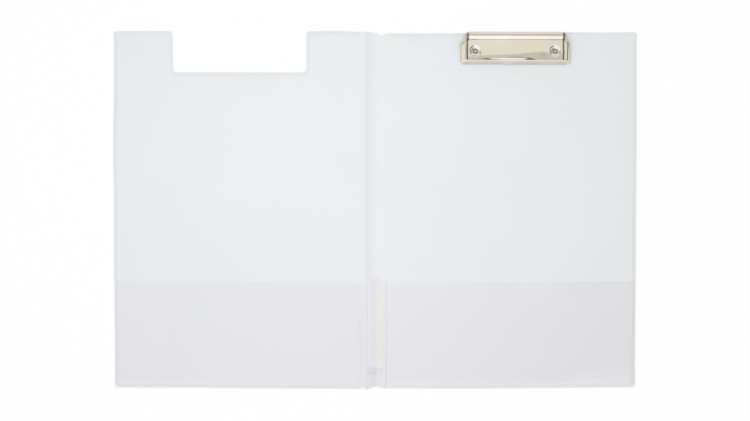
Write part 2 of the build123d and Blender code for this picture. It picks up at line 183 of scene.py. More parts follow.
def raised(u, v):
    """0 on the welded rim and the spine, 1 where the board lifts the foil."""
    rim = rim_depth(u, v, RAISE_START) / RAISE_RUN
    crease = (np.abs(u) - CREASE) / CREASE_RAISE_RUN
    return drape(np.minimum(rim, crease))


def corners_of(side):
    """Corners (u, v) of one half of the folder, counter-clockwise; the front one has the notch."""
    if side > 0:
        return [(0, -END), (SIDE, -END), (SIDE, END), (0, END)]
    notch = [(NOTCH_RIGHT, END), (NOTCH_RIGHT, NOTCH_FLOOR), (NOTCH_LEFT, NOTCH_FLOOR), (NOTCH_LEFT, END)]
    return [(0, -END), (0, END)] + notch + [(-SIDE, END), (-SIDE, -END)]


def loop(corners, inset, step, fixed=()):
    """Closed line of points inside a right-angled outline; edges on a fixed u or v don't move in."""
    edges = []
    for a, b in zip(corners, corners[1:] + corners[:1]):
        upright = a[0] == b[0]
        line = ("u", a[0]) if upright else ("v", a[1])
        heading = (np.sign(b[0] - a[0]), np.sign(b[1] - a[1]))
        inward = -heading[1] if upright else heading[0]
        move = 0.0 if line in fixed else inset
        edges.append((upright, line[1] + inward * move, heading))
    turns = []
    for i, corner in enumerate(corners):
        before, after = edges[i - 1], edges[i]
        u = before[1] if before[0] else after[1]
        v = after[1] if before[0] else before[1]
        into, out = np.array(before[2]), np.array(after[2])
        if ("u", corner[0]) in fixed or ("v", corner[1]) in fixed:
            radius = 0.0
        elif into[0] * out[1] - into[1] * out[0] > 0:
            radius = max(CORNER - inset, LEAST_TURN)
        else:
            radius = CORNER + inset
        turns.append((np.array([u, v], float), into, out, radius))
    points = []
    for (corner, into, out, radius), following in zip(turns, turns[1:] + turns[:1]):
        if radius:
            centre = corner - into * radius + out * radius
            for k in range(CORNER_STEPS + 1):
                angle = math.pi / 2 * k / CORNER_STEPS
                points.append(centre - out * radius * math.cos(angle) + into * radius * math.sin(angle))
        else:
            points.append(corner)
        start = corner + out * radius
        target = following[0] - following[1] * following[3]
        pieces = max(1, round(np.linalg.norm(target - start) / step))
        for k in range(1, pieces):
            points.append(start + (target - start) * k / pieces)
    return [tuple(p) for p in points]


def circle(centre, radius, count):
    angles = [2 * math.pi * k / count for k in range(count)]
    return [(centre[0] + radius * math.cos(a), centre[1] + radius * math.sin(a)) for a in angles]


def grid_points(box, step):
    u0, v0, u1, v1 = box
    columns = np.linspace(u0, u1, max(2, round((u1 - u0) / step) + 1))
    rows = np.linspace(v0, v1, max(2, round((v1 - v0) / step) + 1))
    return [(float(a), float(b)) for a in columns for b in rows]


def upright_lines(places, v0, v1, step):
    rows = np.linspace(v0, v1, round((v1 - v0) / step) + 1)
    return [(float(a), float(b)) for a in places for b in rows]


def triangulate(borders, points, inside):
    """Flat triangles through the points, held by closed border lines, where inside(u, v) is true."""
    known, coords, edges = {}, [], []

    def add(p):
        key = (round(p[0] * MERGE_PER_MM), round(p[1] * MERGE_PER_MM))
        if key not in known:
            known[key] = len(coords)
            coords.append(Vector(p))
        return known[key]

    for border in borders:
        index = [add(p) for p in border]
        edges += [(a, b) for a, b in zip(index, index[1:] + index[:1]) if a != b]
    for p in points:
        add(p)
    found = delaunay_2d_cdt(coords, edges, [], 0, 1e-6, False)
    uv = np.array([(p.x, p.y) for p in found[0]])
    faces = np.array(found[2])
    a, b, c = uv[faces[:, 0]], uv[faces[:, 1]], uv[faces[:, 2]]
    middle = (a + b + c) / 3
    area = (b[:, 0] - a[:, 0]) * (c[:, 1] - a[:, 1]) - (b[:, 1] - a[:, 1]) * (c[:, 0] - a[:, 0])
    faces = faces[inside(middle[:, 0], middle[:, 1]) & (np.abs(area) > 1e-7)]
    return uv, faces


def mesh_object(name, verts, polygons, sharp=40):
    mesh = bpy.data.meshes.new(name)
    mesh.from_pydata(verts, [], polygons)
    mesh.validate()
    mesh.shade_smooth()
    mesh.set_sharp_from_angle(angle=math.radians(sharp))
    obj = bpy.data.objects.new(name, mesh)
    bpy.context.scene.collection.objects.link(obj)
    return obj


def shell(name, uv, faces, top, bottom):
    """Closed sheet between the levels top(u, v) and bottom(u, v), in millimetres."""
    used = np.unique(faces)
    remap = np.full(len(uv), -1)
    remap[used] = np.arange(len(used))
    faces = remap[faces].tolist()
    u, v = uv[used].T
    x, y = lie(u, v)
    verts = np.concatenate([np.stack([x, y, top(u, v)], 1), np.stack([x, y, bottom(u, v)], 1)]) * MM
    count = len(used)
    around = dict.fromkeys((f[i], f[(i + 1) % 3]) for f in faces for i in range(3))
    polygons = [tuple(f) for f in faces]
    polygons += [(f[2] + count, f[1] + count, f[0] + count) for f in faces]
    polygons += [(i + count, j + count, j, i) for i, j in around if (j, i) not in around]
    return mesh_object(name, verts.tolist(), polygons)


def grid_sheet(name, top, bottom, cells=None):
    """Closed sheet between two grids of points [row][column], in millimetres, where cells is true."""
    top, bottom = np.array(top, float), np.array(bottom, float)
    rows, columns = top.shape[:2]
    size = rows * columns
    if cells is None:
        cells = np.ones((rows - 1, columns - 1), bool)
    faces = []
    for j, i in zip(*np.nonzero(cells)):
        k = int(j) * columns + int(i)
        faces.append((k, k + 1, k + columns + 1, k + columns))
    around = {(f[i], f[(i + 1) % 4]) for f in faces for i in range(4)}
    polygons = faces + [tuple(k + size for k in reversed(f)) for f in faces]
    polygons += [(i + size, j + size, j, i) for i, j in around if (j, i) not in around]
    verts = np.concatenate([top.reshape(-1, 3), bottom.reshape(-1, 3)]) * MM
    used = sorted({k for f in polygons for k in f})
    remap = {k: n for n, k in enumerate(used)}
    polygons = sorted(tuple(remap[k] for k in f) for f in polygons)
    return mesh_object(name, verts[used].tolist(), polygons, 35)


# White foils

RINGS = (0.06, 0.14, 0.4, 0.75, 0.95, 1.2, 1.5, 1.9, 2.3, 2.7, 3.0, 3.3, 3.5, 3.8, 4.4, 5.5)
OUTER_RINGS = (0.06, 0.14, 0.5, 2.0, 5.0)
CREASE_LINES = (
    2, 4, 6, 7.2, 7.6, 7.9, 8.1, 8.3, 8.5, 8.7, 9.0, 9.2,
    9.5, 9.8, 10.3, 10.9, 11.5, 12.1, 12.7, 13.1, 13.4, 13.8, 15,
)
INNER_GRID = 3.6
OUTER_GRID = 9
LINE_MARGIN = 0.35
EDGE_ROUND = 0.14
RIVET_HOLE = 1.7
HOLE_RINGS = ((2.4, 20), (3.4, 24))
DIMPLE_RADIUS = 5.6
DIMPLE_SLOPE = 0.6
DIMPLE_RINGS = (3.4, 4.9, 5.05, 5.2, 5.35, 5.5, 5.65, 6.4)

# Grooves of the welds along the spine: place, width and depth
LEFT_WELD = (-8.3, 0.42, 0.24)
RIGHT_WELD = (CREASE, 0.4, 0.06)
FILM_WELD = (9.8, 0.4, 0.2)

# Swellings of the inner foil near the clip: height, then place, reach along u and v, and turn
FOLDS = (
    (1.15, 44, 146.5, 30, 5.5, -4),
    (-0.20, 38, 136, 26, 7, 12),
    (0.35, 46, 122, 11, 6, 25),
)


def cover_plan(side, rings, fine):
    """Border and inner points of one half of the folder, up to the middle of the spine."""
    corners = corners_of(side)
    cut = (("u", 0),)
    points = []
    for inset in rings:
        points += loop(corners, inset, EDGE_STEP, cut)
    lines = [side * a for a in CREASE_LINES]
    points += upright_lines(lines, -END + LINE_MARGIN, END - LINE_MARGIN, LINE_STEP)
    for u, v in grid_points((CREASE_LINES[-1], -END, SIDE, END), fine):
        if rim_depth(side * u, v) > rings[-1] + 1:
            points.append((side * u, v))
    return loop(corners, 0.0, EDGE_STEP, cut), points


def fold(u, v):
    """Soft swellings of the inner foil, which lies flat round the clip."""
    lift = 0.10 * np.sin(u / 47 + v / 83) * np.sin(v / 61 - 0.7)
    for height, *place in FOLDS:
        lift += height * bump(u, v, *place)
    quiet = smooth((np.hypot((u - 125) / 62, (v - 150) / 30) - 0.8) / 0.6)
    return lift * quiet


def spine_lie(u, v):
    """How the loose inner foil of the spine lies: down from the left weld, up to the right board."""
    left = np.clip((u + 7.9) / 2.2, 0, 1) * np.clip((1 - u) / 7, 0, 1)
    right = smooth((u - 1.5) / 6.5) * smooth((11 - u) / 3)
    along = smooth((v - MOUTH) / 24)
    return along * (0.5 * left + 0.55 * right) * (1 + 0.2 * np.sin(v / 41)) * (np.abs(u) < 12)


def weld_groove(u, centre, width, depth):
    return depth * np.exp(-(((u - centre) / width) ** 2))


def edge_round(u, v):
    """How far the rounded edge of a foil lies below its level."""
    depth = np.clip(rim_depth(u, v), 0, EDGE_ROUND)
    return EDGE_ROUND - np.sqrt(np.maximum(EDGE_ROUND**2 - (EDGE_ROUND - depth) ** 2, 0))


def inner_top(u, v):
    up = raised(u, v)
    z = RIM + (PANEL - RIM) * up + fold(u, v) * up + spine_lie(u, v)
    right = weld_groove(u, *RIGHT_WELD) + weld_groove(u, *FILM_WELD) * smooth((MOUTH - v) / 3)
    return z - weld_groove(u, *LEFT_WELD) - right - edge_round(u, v)


def inner_bottom(u, v):
    return OUTER_TOP + (PANEL - FOIL - OUTER_TOP) * raised(u, v)


def dimple(u, v):
    """Pressed rises of the outer foil under the two rivets."""
    return smooth((DIMPLE_RADIUS - bore(u, v)) / DIMPLE_SLOPE)


def outer_top(u, v):
    return OUTER_TOP + dimple(u, v)


def outer_bottom(u, v):
    return dimple(u, v) + edge_round(u, v)


def half_cover(side):
    """The inner and the outer foil of one cover, each with its half of the spine."""
    word = "back" if side > 0 else "front"
    rivets_here = RIVETS if side > 0 else ()
    holes = [circle(centre, RIVET_HOLE, 20) for centre in rivets_here]

    def inside(u, v):
        foil = (rim_depth(u, v) > 0) & (u * side > 0)
        return foil & (bore(u, v) > RIVET_HOLE - 0.01) if rivets_here else foil

    border, points = cover_plan(side, RINGS, INNER_GRID)
    for centre in rivets_here:
        for radius, count in HOLE_RINGS:
            points += circle(centre, radius, count)
    uv, faces = triangulate([border] + holes, points, inside)
    inner = shell(f"{word}_inner_skin", uv, faces, inner_top, inner_bottom)

    border, points = cover_plan(side, OUTER_RINGS, OUTER_GRID)
    for centre in rivets_here:
        for radius in DIMPLE_RINGS:
            points += circle(centre, radius, 32)
    uv, faces = triangulate([border] + holes, points, inside)
    outer = shell(f"{word}_outer_skin", uv, faces, outer_top, outer_bottom)
    return inner, outer


front_inner, front_outer = half_cover(-1)
back_inner, back_outer = half_cover(1)

# Clear film over the lower part of both covers

FILM_RIM = 0.9
FILM_END = 2.2
FILM_RINGS = (0.3, 0.6, 1.0, 1.4, 1.75, 2.0, 2.25, 2.5, 3.1, 4.5, 6.5)
FILM_GRID = 3.2
FILM_GRID_START = 17
FILM_MARGIN = 9
FILM_SIDE_LINE = SIDE - 8

# Ripples of the film at its lower edge: height, then place, reach along u and v, and turn
RIPPLES = (
    (0.55, 34, -151, 17, 2.4, 4),
    (0.7, 202, -150.5, 26, 3.0, 5),
)


def film_ripple(u, v):
    lift = 0.0
    for height, *place in RIPPLES:
        lift = lift + height * bump(u, v, *place)
    lift += 0.16 * np.sin(u / 31) * np.sin((v - MOUTH) / 23)
    lift += 0.3 * smooth((v - MOUTH + 8) / 8) * (0.5 + 0.5 * np.sin(u / 37 + 1))
    return lift


def film_bottom(u, v):
    """The film lies on the foil, and a little above it away from its welds."""
    up = raised(u, v)
    foil = RIM + 0.01 + (PANEL - RIM) * up + np.maximum(fold(u, v), 0) * up
    free = smooth((rim_depth(u, v) - 2.2) / 4) * smooth((np.abs(u) - 12) / 5)
    return foil + free * (0.12 + np.maximum(film_ripple(u, v), 0))


def film_top(u, v):
    return film_bottom(u, v) + FILM


def pocket(side):
    """The film of one cover, open at the mouth and welded at its other three sides."""
    word = "back" if side > 0 else "front"
    inner_edge, outer_edge, low_edge = CREASE + 0.2, SIDE - FILM_RIM, -END + FILM_END
    corners = [(inner_edge, low_edge), (outer_edge, low_edge), (outer_edge, MOUTH), (inner_edge, MOUTH)]
    if side < 0:
        corners = [(-u, v) for u, v in reversed(corners)]
    fixed = (("v", MOUTH), ("u", side * inner_edge))
    border = loop(corners, 0.0, EDGE_STEP, fixed)
    points = []
    for inset in FILM_RINGS:
        points += loop(corners, inset, EDGE_STEP, fixed)
    lines = [side * a for a in (*CREASE_LINES, FILM_SIDE_LINE) if a > inner_edge]
    points += upright_lines(lines, low_edge + 0.4, MOUTH, LINE_STEP)
    middle = (FILM_GRID_START, -END + FILM_MARGIN, SIDE - FILM_MARGIN, MOUTH)
    points += [(side * u, v) for u, v in grid_points(middle, FILM_GRID)]

    def inside(u, v):
        box = (inner_edge, low_edge, outer_edge, MOUTH)
        return (round_box(np.abs(u), v, box, 0.001) < 0) & (rim_depth(u, v, FILM_RIM) > 0)

    uv, faces = triangulate([border], points, inside)
    return shell(f"{word}_pocket_film", uv, faces, film_top, film_bottom)


front_pocket = pocket(-1)
back_pocket = pocket(1)

# Pen sleeve on the spine

PEN_HALF = 7.6
PEN_RISE = 2.6
PEN_FULL_END = -134.0
PEN_STOP = -142.0
PEN_WELD = 6.4
PEN_FLANGE = [-8.35, -8.1, -7.85]
PEN_MOUTH_BOW = 3.0

# Rows along the sleeve below, at and above its cross weld, and columns over its arch: first, last, count
LOW_ROWS = (-END + FILM_RIM, PEN_STOP - PEN_WELD - 2, 12)
WELD_ROWS = (-150, -130, 56)
OPEN_ROWS = (-128, MOUTH, 50)
ARCH_COLUMNS = (-PEN_HALF, PEN_HALF, 61)

# Ridges along the sleeve: place, width and height
STREAKS = ((-5.8, 0.5, 0.12), (-2.7, 0.5, -0.16), (-0.9, 0.4, -0.2), (0.4, 0.5, 0.14), (5.2, 0.9, 0.08))


def sleeve_arch(u):
    return np.cos(np.pi / 2 * np.clip(u / PEN_HALF, -1, 1))


def sleeve_height(u, v):
    """Height of the sleeve's film over its flange: a low arch, a flat cross weld, ribs below it."""
    arch = sleeve_arch(u) ** 2
    full = smooth((v - PEN_STOP) / (PEN_FULL_END - PEN_STOP))
    streaks = sum(height * np.exp(-(((u - u0) / width) ** 2)) for u0, width, height in STREAKS)
    below = smooth((PEN_STOP - PEN_WELD - v) / 1.5)
    weld = (1 - full) * (1 - below)
    zigzag = 0.3 + 0.3 * np.sin(2.1 * u + 1.5 * np.sin(v * 1.7)) * np.clip(arch * 2, 0, 1)
    ribs = 0.45 * arch + 0.3 * np.sin(2.6 * u + 0.4) * np.clip(arch * 2, 0, 1)
    return full * (PEN_RISE * arch + streaks) + weld * np.maximum(zigzag, 0) + below * np.maximum(ribs, 0)


def sleeve():
    u = np.concatenate([PEN_FLANGE, np.linspace(*ARCH_COLUMNS), [-a for a in reversed(PEN_FLANGE)]])
    top, bottom = [], []
    for row in np.concatenate([np.linspace(*rows) for rows in (LOW_ROWS, WELD_ROWS, OPEN_ROWS)]):
        v = np.full(len(u), row)
        bow = PEN_MOUTH_BOW * smooth((v - MOUTH + 20) / 20) * sleeve_arch(u) ** 0.7
        z = RIM + FILM + 0.02 + sleeve_height(u, v)
        x, y = lie(u, v + bow)
        top.append(np.stack([x, y, z], 1))
        bottom.append(np.stack([x, y, z - FILM], 1))
    return grid_sheet("pen_sleeve_film", top, bottom)


pen = sleeve()

# Boards

BOARD_STEP = 2.5
BOARD_GRID = 14
BOARD_GRID_START = 16
BOARD_MARGIN = 9
BOARD_HOLE = 1.9
BOARD_RELIEF = 6.2
BOARD_RELIEF_RISE = 1.05
BOARD_GAP = 0.02


def board(side):
    """The greyboard of one cover, with holes and hollows for the rivets in the back one."""
    word = "back" if side > 0 else "front"
    crease_edge = CREASE + CREASE_BOARD_INSET
    rivets_here = RIVETS if side > 0 else ()
    corners = [(side * crease_edge if u == 0 else u, v) for u, v in corners_of(side)]
    fixed = (("u", side * crease_edge),)
    border = loop(corners, BOARD_INSET, BOARD_STEP, fixed)
    holes = [circle(centre, BOARD_HOLE, 20) for centre in rivets_here]
    points = loop(corners, BOARD_INSET + 4, 3, fixed)
    middle = (BOARD_GRID_START, -END + BOARD_MARGIN, SIDE - BOARD_MARGIN, END - BOARD_MARGIN)
    for u, v in grid_points(middle, BOARD_GRID):
        if rim_depth(side * u, v) > BOARD_MARGIN:
            points.append((side * u, v))
    for centre in rivets_here:
        points += circle(centre, BOARD_RELIEF - 0.2, 24) + circle(centre, BOARD_RELIEF + 0.2, 24)

    def inside(u, v):
        good = (rim_depth(u, v, BOARD_INSET) > -0.02) & (np.abs(u) > crease_edge)
        return good & (bore(u, v) > BOARD_HOLE - 0.02) if rivets_here else good

    def over(u, v):
        return np.full_like(u, PANEL - FOIL - BOARD_GAP)

    def under(u, v):
        relief = bore(u, v) < BOARD_RELIEF if rivets_here else 0 * u
        return OUTER_TOP + BOARD_GAP + BOARD_RELIEF_RISE * relief

    uv, faces = triangulate([border] + holes, points, inside)
    return shell(f"{word}_cover_board", uv, faces, over, under)


front_board = board(-1)
back_board = board(1)

# Jaw of the clip

CLIP_X = 124.8
JAW_INNER = 43.4
JAW_OUTER = 49.25
JAW_INNER_TURN = 1.3
JAW_OUTER_TURN = 3.2
JAW_FOOT = 2.62
JAW_FOOT_RISE = 1.2
JAW_FOOT_RISE_START = 136
JAW_FOOT_RISE_RUN = 18
JAW_CROWN = 7.0
JAW_SHEET = 0.85
BAR_BACK = 134.4
BAR_FRONT = 130.1
ROD_Y = 155.7
ROD_Z = 6.45
EAR_RADIUS = 3.75
EAR_SHEET = 0.95
EAR_START = 148.5
EAR_RUN = 7

# The foot of the bar is bowed up a little left and right of its middle
BOW_HEIGHT = 0.5
BOW_X = -6
BOW_WIDTH = 4.5

# Steps along half of the jaw, and points across its sheet
BAR_STEPS = 24
TURN_STEPS = 12
ARM_STEPS = 48
SECTION_POINTS = 46

# Across the jaw's sheet from the inner lip over the crown to the foot: shares of the width and of the height
BAR_ACROSS = (0, 0, 0.03, 0.07, 0.13, 0.2, 0.31, 0.46, 0.63, 0.76, 0.84, 0.89, 0.96, 1.0)
BAR_UP = (0.86, 0.92, 0.975, 1.0, 0.99, 0.93, 0.79, 0.54, 0.28, 0.09, 0.015, 0.07, 0.075, 0.0)
ARM_ACROSS = (0, 0, 0.03, 0.1, 0.2, 0.3, 0.4, 0.52, 0.64, 0.76, 0.86, 0.94, 1.0, 1.0)
ARM_UP = (0.62, 0.7, 0.78, 0.9, 0.98, 1.0, 0.985, 0.93, 0.84, 0.72, 0.58, 0.38, 0.08, 0.0)


def jaw_stations():
    """From the middle of the bar to the rear of one arm: inner point, outer point, foot and crown levels."""
    stations = []
    for k in range(BAR_STEPS):
        t = k / BAR_STEPS
        inner = ((JAW_INNER - JAW_INNER_TURN) * t, BAR_BACK)
        outer = ((JAW_OUTER - JAW_OUTER_TURN) * t, BAR_FRONT)
        stations.append((inner, outer, JAW_FOOT, JAW_CROWN))
    for k in range(TURN_STEPS + 1):
        angle = math.pi / 2 * k / TURN_STEPS
        s, c = math.sin(angle), math.cos(angle)
        inner = (JAW_INNER - JAW_INNER_TURN * (1 - s), BAR_BACK + JAW_INNER_TURN * (1 - c))
        outer = (JAW_OUTER - JAW_OUTER_TURN * (1 - s), BAR_FRONT + JAW_OUTER_TURN * (1 - c))
        stations.append((inner, outer, JAW_FOOT, JAW_CROWN))
    rear = ROD_Y + EAR_RADIUS - 0.05
    for k in range(1, ARM_STEPS + 1):
        t = k / ARM_STEPS
        y = BAR_BACK + JAW_INNER_TURN + (rear - BAR_BACK - JAW_INNER_TURN) * t
        outer_y = BAR_FRONT + JAW_OUTER_TURN + (rear - BAR_FRONT - JAW_OUTER_TURN) * t
        narrow = float(smooth((y - EAR_START) / EAR_RUN))
        width = (JAW_OUTER - JAW_INNER) * (1 - narrow) + EAR_SHEET * narrow
        ear = math.sqrt(max(EAR_RADIUS**2 - (y - ROD_Y) ** 2, 0))
        foot = JAW_FOOT + JAW_FOOT_RISE * float(smooth((y - JAW_FOOT_RISE_START) / JAW_FOOT_RISE_RUN))
        crown = JAW_CROWN
        if y > ROD_Y:
            foot = max(foot, ROD_Z - ear)
            crown = ROD_Z + ear
        elif y >= ROD_Y - EAR_RADIUS:
            crown = max(crown, ROD_Z + ear)
        stations.append(((JAW_INNER, y), (JAW_INNER + width, y + (outer_y - y) * (1 - narrow)), foot, crown))
    return stations


def jaw_section(share):
    """Section between the bar's (share 0) and the arm's (share 1)."""
    places = np.arange(len(BAR_UP))
    fine = np.linspace(0, len(BAR_UP) - 1, SECTION_POINTS)
    across = (1 - share) * np.array(BAR_ACROSS) + share * np.array(ARM_ACROSS)
    up = (1 - share) * np.array(BAR_UP) + share * np.array(ARM_UP)
    return np.clip(spline(places, across, fine), 0, 1), np.clip(spline(places, up, fine), 0, 1)


def jaw():
    half = list(enumerate(jaw_stations()))
    line = [(-1, k, station) for k, station in reversed(half[1:])]
    line += [(1, k, station) for k, station in half]
    top, bottom = [], []
    for side, k, (inner, outer, foot, crown) in line:
        across, up = jaw_section(float(smooth((k - BAR_STEPS) / TURN_STEPS)))
        width = math.hypot(outer[0] - inner[0], outer[1] - inner[1])
        height = crown - foot
        for grid, sheet in ((top, 0), (bottom, JAW_SHEET)):
            a = across * max(width - sheet, 0.12) / width
            z = foot + up * max(height - sheet, height * 0.5)
            x, y = inner[0] + (outer[0] - inner[0]) * a, inner[1] + (outer[1] - inner[1]) * a
            bow = BOW_HEIGHT * np.exp(-(((side * x - BOW_X) / BOW_WIDTH) ** 2)) * (1 - up) * (y < BAR_BACK)
            grid.append(np.stack([CLIP_X + side * x, y, z + bow], 1))
    return grid_sheet("clip_jaw_shell", top, bottom)


clip_jaw = jaw()

# Base plate of the clip: flat, a little bent down in front, and rolled over the rod at its rear

PLATE_FRONT = 133.4
PLATE_TOP = 5.1
PLATE_SHEET = 0.8
PLATE_HALF = 43.0
PLATE_FOOT = 2.55
SIDE_BEND = 1.2
SIDE_DROPS = (1.9, 2.55)
DISH_DEPTH = 1.45
DISH_RADIUS = 5.35
DISH_SLOPE = 2.7
ROLL_SHEET = 0.4
ROLL_HALF = 41.9
ROLL_RADIUS = 3.9
ROLL_SLANT = 0.35
ROLL_BEND = 0.7
ROLL_START = ROD_Y - ROLL_RADIUS - ROLL_BEND
ROLL_ANGLES = (178, -95)

# The wavy line along which the plate starts to bend down
SAG_X = (82, 94, 106, 118, 126, 137, 147, 152, 158, 168)
SAG_Y = (137.6, 138.6, 139.3, 139.7, 140.0, 141.1, 141.9, 141.7, 140.8, 140.2)

# How the plate sags in front of that line, and the edge curled down along the left part of its front
SAG_SLOPE = 0.05
SAG_SOFTNESS = 0.3
CURL = 0.16
CURL_START = 88
CURL_RUN = 26
CURL_FULL_TO = 119
CURL_FADE = 17
CURL_LINE = 136.3
CURL_SLOPE = 1.7

# The recess in the plate's front edge: its depth, place and reach
RECESS = 2.3
RECESS_X = 13.6
RECESS_WIDTH = 5.2
RECESS_END = 137.5
RECESS_RUN = 4.1

# Points along the flat, the bend and the roll, across the turned-down side, and across each dish
FLAT_POINTS = 72
BEND_POINTS = 10
ROLL_POINTS = 64
SIDE_POINTS = 7
DISH_POINTS = 44


def plate_line():
    """Outer line of the plate in (v, z) from its front edge over the roll to the seam."""
    flat = [(v, PLATE_TOP) for v in np.linspace(PLATE_FRONT, ROLL_START - 0.05, FLAT_POINTS)]
    bend = [math.radians(-90 + 90 * k / (BEND_POINTS - 1)) for k in range(BEND_POINTS)]
    rise = [(ROLL_START + ROLL_BEND * math.cos(a), PLATE_TOP + ROLL_BEND * (1 + math.sin(a))) for a in bend]
    roll = []
    first, last = ROLL_ANGLES
    for k in range(ROLL_POINTS):
        angle = math.radians(first - (first - last) * k / (ROLL_POINTS - 1))
        slant = ROLL_SLANT * max(0.0, 0.4 - math.cos(angle)) * max(0.0, math.sin(angle))
        roll.append((ROD_Y + ROLL_RADIUS * math.cos(angle), ROD_Z + ROLL_RADIUS * math.sin(angle) - slant))
    return np.array(flat + rise + roll)


def plate_dent(x, y):
    """How far the plate lies below its level: two dishes, the sag in front and the turned-down edge."""
    depth = np.zeros_like(x)
    for centre in RIVETS:
        r = np.hypot(x - centre[0], y - centre[1])
        depth = depth + DISH_DEPTH * drape((DISH_RADIUS - r) / DISH_SLOPE)
    below = np.maximum(spline(SAG_X, SAG_Y, x) - y, 0)
    depth = depth + SAG_SLOPE * below**2 / (below + SAG_SOFTNESS)
    fade = np.exp(-((np.maximum(x - CURL_FULL_TO, 0) / CURL_FADE) ** 4))
    curl = CURL * fade * smooth((x - CURL_START) / CURL_RUN)
    return depth + curl * smooth((CURL_LINE - y) / CURL_SLOPE)


def plate_columns():
    """Places across the plate and how far each lies down its turned-down sides."""
    near = np.linspace(-5.3, 5.3, DISH_POINTS)
    dish_u = (RIVETS[1][0] - RIVETS[0][0]) / 2
    even = np.linspace(-ROLL_HALF + 0.1, ROLL_HALF - 0.1, 64)
    core = np.concatenate([even, near - dish_u, near + dish_u])
    core = np.unique(np.round(np.clip(core, -ROLL_HALF, ROLL_HALF), 2))
    sides = []
    for k in range(1, SIDE_POINTS + 1):
        angle = math.pi / 2 * k / SIDE_POINTS
        s, c = math.sin(angle), math.cos(angle)
        sides.append((PLATE_HALF - SIDE_BEND + SIDE_BEND * s, SIDE_BEND * (1 - c)))
    sides += [(PLATE_HALF, drop) for drop in SIDE_DROPS]
    mirrored = [(-u, drop) for u, drop in reversed(sides)]
    return np.array(mirrored + [(float(u), 0.0) for u in core] + sides).T


def plate():
    line = plate_line()
    along = np.gradient(line, axis=0)
    normal = np.stack([-along[:, 1], along[:, 0]], 1)
    normal /= np.linalg.norm(normal, axis=1)[:, None]
    u, drop = plate_columns()
    x = CLIP_X + u
    inward = np.clip(drop / SIDE_BEND, 0, 1)
    top, bottom, flats = [], [], []
    for (v, z), (nv, nz) in zip(line, normal):
        flat = v < ROLL_START - 0.01 and z < PLATE_TOP + 0.01
        sheet = ROLL_SHEET if z > PLATE_TOP + ROLL_BEND + 0.1 else PLATE_SHEET
        y, level = v + 0 * u, z + 0 * u
        if flat:
            across = np.exp(-(((u - RECESS_X) / RECESS_WIDTH) ** 2))
            y = v + RECESS * across * smooth((RECESS_END - v) / RECESS_RUN)
            level = z - plate_dent(x, y)
        top.append(np.stack([x, y, level - drop], 1))
        below = np.maximum(level - sheet * nz * (1 - inward) - drop, PLATE_FOOT)
        bottom.append(np.stack([x - np.sign(u) * sheet * inward, y - sheet * nv, below], 1))
        flats.append(flat)
    mask = np.ones((len(line) - 1, len(u) - 1), bool)
    outside = (np.abs(u[1:]) > ROLL_HALF + 0.01) | (np.abs(u[:-1]) > ROLL_HALF + 0.01)
    for j in range(len(line) - 1):
        if not (flats[j] and flats[j + 1]):
            mask[j] = ~outside
    return grid_sheet("clip_plate_shell", top, bottom, mask)


clip_plate = plate()

# Ends of the plate's roll: ears that carry the rod, down to the cover

ROLL_EAR_RADIUS = 3.2
ROLL_EAR_FACES = (41.5, 43.1)
ROLL_EAR_POINTS = 33
ROLL_EAR_START = -60
ROLL_EAR_TURN = 250
ROLL_EAR_FOOT = [(ROD_Y - 0.5, 3.4), (150.4, 3.3), (150.2, 2.56), (ROD_Y, 2.56)]


def plate_ears():
    outline = list(ROLL_EAR_FOOT)
    for k in range(ROLL_EAR_POINTS):
        angle = math.radians(ROLL_EAR_START + ROLL_EAR_TURN * k / (ROLL_EAR_POINTS - 1))
        c, s = math.cos(angle), math.sin(angle)
        outline.append((ROD_Y + ROLL_EAR_RADIUS * c, ROD_Z + ROLL_EAR_RADIUS * s))
    verts, polygons = [], []
    count = len(outline)
    for side in (-1, 1):
        start = len(verts)
        for x in sorted(CLIP_X + side * face for face in ROLL_EAR_FACES):
            verts += [(x * MM, y * MM, z * MM) for y, z in outline]
        polygons.append(tuple(start + k for k in reversed(range(count))))
        polygons.append(tuple(start + count + k for k in range(count)))
        for k in range(count):
            m = (k + 1) % count
            polygons.append((start + k, start + m, start + count + m, start + count + k))
    return mesh_object("clip_plate_ears", verts, polygons)


clip_ears = plate_ears()

# Tubular rivets: a curled head in the dish, the shank, and the tail rolled over the washer

RIVET_TURNS = 48
RIVET_LINE = (
    (1.0, 0.45), (1.0, 4.1), (1.06, 4.32), (1.22, 4.5), (1.45, 4.58), (1.7, 4.55), (1.94, 4.42), (2.12, 4.2),
    (2.2, 3.98), (2.15, 3.87), (1.6, 3.87), (1.6, 0.5), (2.4, 0.49), (2.6, 0.4), (2.6, 0.25), (2.45, 0.12),
    (2.1, 0.06), (1.5, 0.06), (1.15, 0.16), (1.0, 0.3),
)


def rivets():
    verts, polygons = [], []
    count = len(RIVET_LINE)
    for x, y in RIVETS:
        start = len(verts)
        for k in range(RIVET_TURNS):
            angle = 2 * math.pi * k / RIVET_TURNS
            c, s = math.cos(angle), math.sin(angle)
            verts += [((x + r * c) * MM, (y + r * s) * MM, z * MM) for r, z in RIVET_LINE]
        for k in range(RIVET_TURNS):
            a, b = start + k * count, start + (k + 1) % RIVET_TURNS * count
            for i in range(count):
                j = (i + 1) % count
                polygons.append((a + i, a + j, b + j, b + i))
    return mesh_object("rivet_tubes", verts, polygons)


rivet_tubes = rivets()

# Materials


